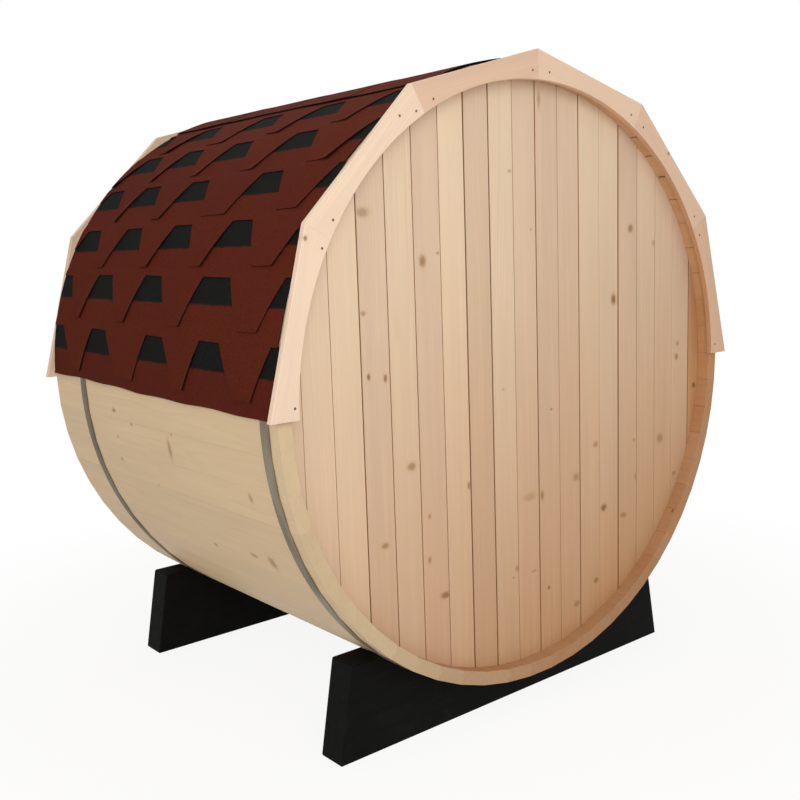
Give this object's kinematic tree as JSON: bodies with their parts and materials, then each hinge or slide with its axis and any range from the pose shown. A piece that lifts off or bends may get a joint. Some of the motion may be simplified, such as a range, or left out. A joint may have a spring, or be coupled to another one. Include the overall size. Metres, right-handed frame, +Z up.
{
  "type": "barrel sauna",
  "caption": "Timber barrel sauna: staves held by steel bands, recessed boarded ends, shingled upper half, polygonal fascia boards and black shaped cradles.",
  "frame": {"origin": "on the ground, midway along the barrel and under its axis", "axes": "+Z up, +Y along the barrel from its plain end to its door end, +X to the right seen from the plain end"},
  "size_m": [1.8634, 1.413, 1.9253],
  "materials": {
    "stave_pine": "planed pine staves, untreated, with small knots",
    "board_pine": "planed pine boards, pinkish and yellowish by turns",
    "trim_pine": "planed pale pine",
    "handle_wood": "planed darker softwood",
    "hinge_steel": "black painted steel",
    "band_steel": "dull rolled steel strip",
    "shingle": "bitumen shingle with dark red mineral grit and black shaded patches",
    "black_timber": "timber painted matt black"
  },
  "bodies": {
    "root": {"staves_bottom": "stave_pine", "staves_lower_right": "stave_pine", "staves_right": "stave_pine", "staves_upper_right": "stave_pine", "staves_top": "stave_pine", "staves_upper_left": "stave_pine", "staves_left": "stave_pine", "staves_lower_left": "stave_pine", "rear_wall": "board_pine", "front_wall_left": "board_pine", "front_wall_right": "board_pine", "front_wall_over_door": "board_pine", "front_wall_under_door": "board_pine", "door_jamb_left": "trim_pine", "door_jamb_right": "trim_pine", "door_head": "trim_pine", "door_sill": "trim_pine", "door_stops": "trim_pine", "door_ledges": "trim_pine", "door_leaf": "board_pine", "door_hinges": "hinge_steel", "door_handle": "handle_wood", "rear_fascia_1": "trim_pine", "rear_fascia_2": "trim_pine", "rear_fascia_3": "trim_pine", "rear_fascia_4": "trim_pine", "rear_fascia_5": "trim_pine", "rear_fascia_6": "trim_pine", "front_fascia_1": "trim_pine", "front_fascia_2": "trim_pine", "front_fascia_3": "trim_pine", "front_fascia_4": "trim_pine", "front_fascia_5": "trim_pine", "front_fascia_6": "trim_pine", "rear_band": "band_steel", "rear_cradle": "black_timber", "front_band": "band_steel", "front_cradle": "black_timber", "roof_left": "shingle", "roof_right": "shingle", "ridge_cap": "shingle"}
  },
  "joints": []
}
